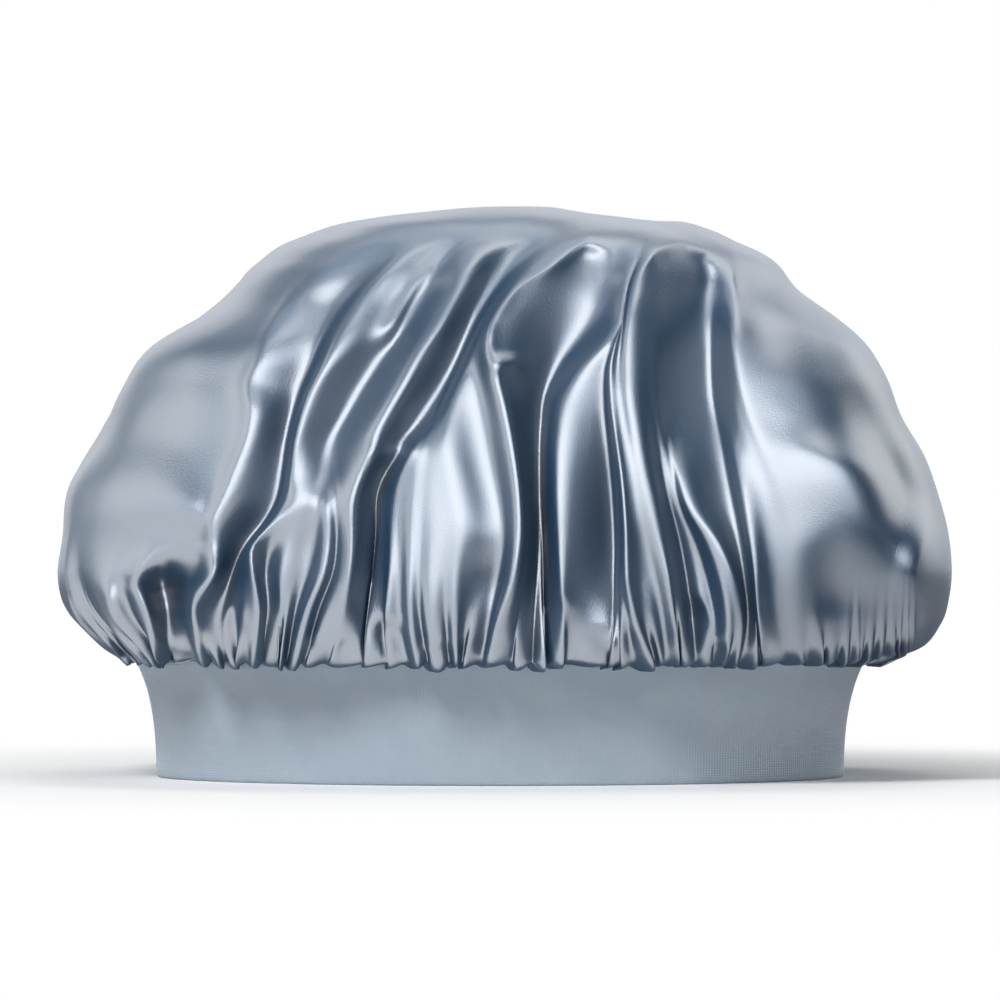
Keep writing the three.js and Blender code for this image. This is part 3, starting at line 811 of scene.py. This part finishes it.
def braided_elastic():
    """Braided polyester over rubber: dull white, with ribs along it and slanting picks across them."""
    material, tree = new_material("braided_elastic")
    place = add(tree, "ShaderNodeUVMap", {"uv_map": "flat_cloth"}).outputs[0]
    pick = 1.6 * MM
    weave = add(tree, "ShaderNodeTexWave", {"bands_direction": "DIAGONAL"}, Vector=place,
                Scale=math.pi / 10 / pick, Distortion=0.6)
    bump = add(tree, "ShaderNodeBump", Height=weave.outputs[1], Strength=0.4, Distance=0.0002)
    colour = add(tree, "ShaderNodeMix", {"data_type": "RGBA"}, n_0=weave.outputs[1], n_6=linear("#c4c9cd"),
                 n_7=linear("#e6e8ea"))
    shader = add(tree, "ShaderNodeBsdfPrincipled", Base_Color=colour.outputs[2], Normal=bump.outputs[0])
    shader.inputs["Roughness"].default_value = 0.75
    add(tree, "ShaderNodeOutputMaterial", Surface=shader.outputs[0])
    return material


def polyester_thread():
    """Textured polyester thread: fluffy yarn, dull, with small lighter and darker tufts."""
    material, tree = new_material("polyester_thread")
    place = add(tree, "ShaderNodeTexCoord").outputs["Object"]
    tuft = 0.4 * MM
    fluff = add(tree, "ShaderNodeTexNoise", Vector=place, Scale=1 / tuft, Detail=2.0)
    bump = add(tree, "ShaderNodeBump", Height=fluff.outputs[0], Strength=0.4, Distance=0.0001)
    colour = add(tree, "ShaderNodeMix", {"data_type": "RGBA"}, n_0=fluff.outputs[0], n_6=linear("#64758a"),
                 n_7=linear("#8796a8"))
    shader = add(tree, "ShaderNodeBsdfPrincipled", Base_Color=colour.outputs[2], Normal=bump.outputs[0])
    shader.inputs["Roughness"].default_value = 0.65
    add(tree, "ShaderNodeOutputMaterial", Surface=shader.outputs[0])
    return material


def finish_piece(piece, node, material):
    """Gives a piece its material, and puts it in the place of a CAD node."""
    piece.data.materials.append(material)
    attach(piece, "root")
    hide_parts(node)


def solidify(piece, thickness, offset):
    """Gives a sheet its thickness, to its inside for an offset of -1 and to both sides for 0."""
    solid = piece.modifiers.new("cloth", "SOLIDIFY")
    solid.thickness = thickness * MM
    solid.offset = offset


def make_crown():
    """The gathered disc of satin."""
    grid = crown_grid()
    top = grid[-1].mean(axis=0)
    flat = disc_places(grid, top)
    crown = sheet_of("satin_crown", grid, flat, top)
    solidify(crown, SATIN_THICKNESS, -1)
    finish_piece(crown, "crown", polyester_satin())
    return crown


def make_band():
    """The strip of knit: down its outer layer, round the fold of the hem and up its inner layer."""
    turn = np.linspace(0, 2 * math.pi, BAND_COLUMNS, endpoint=False)
    bend = (KNIT_PLY + PLY_GAP) / 2
    fold_height = bend + KNIT_PLY / 2
    outer = -KNIT_PLY / 2
    heights = np.linspace(fold_height, raw_edge_height, PLY_RINGS)
    around = np.radians(np.linspace(0, 180, FOLD_RINGS)[1:-1])
    section = [(outer, z) for z in heights[::-1]]
    section += [(outer - bend + bend * math.cos(a), fold_height - bend * math.sin(a)) for a in around]
    section += [(outer - 2 * bend, z) for z in heights]
    grid = np.array([band_oval(out, z, turn) for out, z in section])

    # Unevenness of the two layers together, and the closing seam at the back
    off = np.abs(turn - math.pi) * seam_half_width
    seam = CLOSING_SWELL * np.exp(-((off / CLOSING_ALLOWANCE) ** 4))
    seam -= (CLOSING_SWELL + CLOSING_GROOVE) * np.exp(-((off / CLOSING_HALF_WIDTH) ** 2))
    outward = np.stack([np.sin(turn), -np.cos(turn), 0 * turn], axis=1)
    for r, (out, z) in enumerate(section):
        free = math.sin(math.pi * (z / SEAM_HEIGHT)) ** WAVE_RISE if z < SEAM_HEIGHT else 0
        wave = np.zeros(BAND_COLUMNS)
        for size, tall in BAND_WAVES:
            around_it = [Vector((*(way[:2] * seam_half_width), z)) / size for way in outward]
            wave += tall * np.array([noise.noise(spot) for spot in around_it])
        shown = wave * free + seam * (out == outer)
        grid[r] += outward * shown[:, None]
    band = sheet_of("knit_band", grid[::-1], strip_places(grid[::-1]))
    solidify(band, KNIT_PLY, 0)
    finish_piece(band, "band", stretch_knit())
    return band


def make_elastic():
    """The elastic: a flat tape with ribs along both faces, gathered a little with the cloth."""
    low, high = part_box("gather_elastic")
    bottom, top = low.z / MM, high.z / MM
    outside = high.x / MM - seam_half_width
    turn = np.linspace(0, 2 * math.pi, BAND_COLUMNS, endpoint=False)
    steps = RIB_STEPS * ELASTIC_RIBS
    heights = np.linspace(bottom, top, steps + 1)
    across = np.linspace(0, 1, steps + 1)
    rib = ELASTIC_RIB_HEIGHT * (1 - np.abs(np.cos(math.pi * ELASTIC_RIBS * across)))
    wave = ELASTIC_WAVE * np.sin(turn * ELASTIC_WAVES[0]) * np.sin(turn * ELASTIC_WAVES[1])
    face = outside - ELASTIC_WAVE - ELASTIC_RIB_HEIGHT
    back = face - ELASTIC_THICKNESS
    rings_up = [band_oval(face + ridge + wave, z, turn) for z, ridge in zip(heights, rib)]
    rings_down = [band_oval(back - ridge + wave, z, turn) for z, ridge in zip(heights[::-1], rib)]
    grid = np.array(rings_up + rings_down)
    elastic = sheet_of("braided_elastic", grid, strip_places(grid, closed_up=True), closed_up=True)
    finish_piece(elastic, "gather_elastic", braided_elastic())
    return elastic


def make_overlock():
    """Overlock stitches: a looper thread wound over the raw edges, and a needle thread through them."""
    low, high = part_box("overlock_binding")
    outer = high.x / MM - seam_half_width - THREAD_RADIUS - LOOP_MARGIN
    inner = -2 * KNIT_PLY - PLY_GAP - LOOP_DEPTH
    bottom, top = low.z / MM + THREAD_RADIUS, high.z / MM - THREAD_RADIUS
    half_way = (bottom + top) / 2
    section = [(inner, bottom), (inner, half_way), (inner, top - LOOP_CORNER), (inner + LOOP_CORNER, top),
               ((inner + outer) / 2, top), (outer - LOOP_CORNER, top), (outer, top - LOOP_CORNER),
               (outer, half_way), (outer, bottom)]
    curve = bpy.data.curves.new("overlock_thread", "CURVE")
    curve.dimensions = "3D"
    curve.bevel_depth = THREAD_RADIUS * MM
    curve.bevel_resolution = 1

    def thread(points):
        line = curve.splines.new("POLY")
        line.points.add(len(points) - 1)
        weighted = np.concatenate([points * MM, np.ones((len(points), 1))], axis=1)
        line.points.foreach_set("co", weighted.ravel())
        line.use_cyclic_u = True

    looper = []
    for stitch in range(STITCHES):
        for k, (out, z) in enumerate(section):
            turn = 2 * math.pi * (stitch + LOOP_SLANT * k / len(section)) / STITCHES
            looper.append(band_oval(out, z, turn))
    thread(np.array(looper))
    along = np.linspace(0, 2 * math.pi, STITCHES * NEEDLE_STEPS, endpoint=False)
    rise = 2 * THREAD_RADIUS * np.abs(np.sin(along * STITCHES / 2)) ** NEEDLE_RISE - NEEDLE_SINK
    for out, side in ((inner, -1), (outer, 1)):
        thread(band_oval(out + side * rise, bottom + NEEDLE_HEIGHT, along))
    overlock = bpy.data.objects.new("overlock_thread", curve)
    bpy.context.scene.collection.objects.link(overlock)
    finish_piece(overlock, "overlock_binding", polyester_thread())
    return overlock


def seen_directly(tree):
    """One on rays from the camera, straight, mirrored or through a clear body, and else nought."""
    path = add(tree, "ShaderNodeLightPath")
    mirrored = add(tree, "ShaderNodeMath", {"operation": "MAXIMUM"}, n_0=path.outputs["Is Camera Ray"],
                   n_1=path.outputs["Is Glossy Ray"])
    seen = add(tree, "ShaderNodeMath", {"operation": "MAXIMUM"}, n_0=mirrored.outputs[0],
               n_1=path.outputs["Is Transmission Ray"])
    return seen.outputs[0]


def make_floor():
    """The pale floor, which keeps the shadow near the bonnet and is white further out."""
    bpy.ops.mesh.primitive_plane_add(size=FLOOR_SIZE)
    floor = bpy.context.object
    floor.name = "floor"
    material, tree = new_material("pale_floor")
    place = add(tree, "ShaderNodeTexCoord").outputs["Object"]
    far = add(tree, "ShaderNodeVectorMath", {"operation": "LENGTH"}, n_0=place)
    fade = add(tree, "ShaderNodeMapRange", {"interpolation_type": "SMOOTHSTEP"}, Value=far.outputs["Value"],
               From_Min=SHADOW_REACH[0], From_Max=SHADOW_REACH[1])
    share = add(tree, "ShaderNodeMath", {"operation": "MULTIPLY"}, n_0=seen_directly(tree),
                n_1=fade.outputs[0])
    matt = add(tree, "ShaderNodeBsdfDiffuse", Color=linear("#f4f4f4"))
    white = add(tree, "ShaderNodeEmission", Color=linear("#ffffff"), Strength=1.0)
    mix = add(tree, "ShaderNodeMixShader", Fac=share.outputs[0], n_1=matt.outputs[0], n_2=white.outputs[0])
    add(tree, "ShaderNodeOutputMaterial", Surface=mix.outputs[0])
    floor.data.materials.append(material)


def make_world():
    """A white background that lights the bonnet only faintly."""
    world = bpy.data.worlds.new("studio")
    bpy.context.scene.world = world
    world.use_nodes = True
    tree = world.node_tree
    tree.nodes.clear()
    soft = add(tree, "ShaderNodeBackground", Color=linear("#c8d8e4"), Strength=0.1)
    white = add(tree, "ShaderNodeBackground", Color=linear("#ffffff"), Strength=1.0)
    mix = add(tree, "ShaderNodeMixShader", Fac=seen_directly(tree), n_1=soft.outputs[0],
              n_2=white.outputs[0])
    add(tree, "ShaderNodeOutputWorld", Surface=mix.outputs[0])


def make_lamp(name, place, size, power):
    """A lamp that lights the bonnet, but isn't mirrored in the satin."""
    light = bpy.data.lights.new(name, "AREA")
    light.shape = "RECTANGLE"
    light.size, light.size_y = size
    light.energy = power
    lamp = bpy.data.objects.new(name, light)
    lamp.location = place
    lamp.rotation_mode = "QUATERNION"
    lamp.rotation_quaternion = (Vector(LAMP_AIM) - Vector(place)).to_track_quat("-Z", "Y")
    lamp.visible_camera = False
    lamp.visible_glossy = False
    bpy.context.scene.collection.objects.link(lamp)


def make_board(name, place, turn, size, spot, reach, spot_colour, rim_colour, strength):
    """A glowing board that is only seen mirrored, a painted reflection, with one colour at a spot and
    another at its rim.
    """
    turn = [math.radians(angle) for angle in turn]
    bpy.ops.mesh.primitive_plane_add(size=1, location=place, rotation=turn)
    board = bpy.context.object
    board.name = name
    board.scale = (*size, 1)
    board.visible_camera = False
    board.visible_diffuse = False
    board.visible_shadow = False
    material, tree = new_material(name + "_glow")
    at = add(tree, "ShaderNodeTexCoord").outputs["Object"]
    full = add(tree, "ShaderNodeVectorMath", {"operation": "MULTIPLY"}, n_0=at, n_1=(*size, 1))
    off = add(tree, "ShaderNodeVectorMath", {"operation": "DISTANCE"}, n_0=full.outputs[0],
              n_1=(*spot, 0))
    blend = add(tree, "ShaderNodeMapRange", {"interpolation_type": "SMOOTHSTEP"},
                Value=off.outputs["Value"], From_Min=reach[0], From_Max=reach[1])
    colour = add(tree, "ShaderNodeMix", {"data_type": "RGBA"}, n_0=blend.outputs[0],
                 n_6=linear(spot_colour), n_7=linear(rim_colour))
    # The board glows with its colour: painted light that shows only in mirrored rays, as the satin's
    # highlights and dark reflections.
    shader = add(tree, "ShaderNodeEmission", Color=colour.outputs[2], Strength=strength)
    add(tree, "ShaderNodeOutputMaterial", Surface=shader.outputs[0])
    board.data.materials.append(material)


def make_camera():
    """The camera, straight in front and a little above, as far off as leaves the photograph's scale."""
    scene = bpy.context.scene
    eye = bpy.data.cameras.new("camera")
    camera = bpy.data.objects.new("camera", eye)
    scene.collection.objects.link(camera)
    tilt = math.radians(CAMERA_TILT)
    aim = Vector((0, 0, (PHOTO_HEM - PHOTO_SIZE / 2) * PHOTO_MM * MM))
    camera.location = aim + Vector((0, -math.cos(tilt), math.sin(tilt))) * CAMERA_DISTANCE
    camera.rotation_mode = "QUATERNION"
    camera.rotation_quaternion = (aim - camera.location).to_track_quat("-Z", "Y")
    eye.sensor_width = SENSOR
    eye.lens = SENSOR * CAMERA_DISTANCE / (PHOTO_SIZE * PHOTO_MM * MM)
    eye.clip_end = 100
    scene.camera = camera


crown = make_crown()
band = make_band()
elastic = make_elastic()
make_overlock()
bpy.context.scene.view_settings.view_transform = "Standard"
make_floor()
make_world()
for name, facts in LAMPS.items():
    make_lamp(name, *facts)
for name, facts in BOARDS.items():
    make_board(name, *facts)
make_camera()
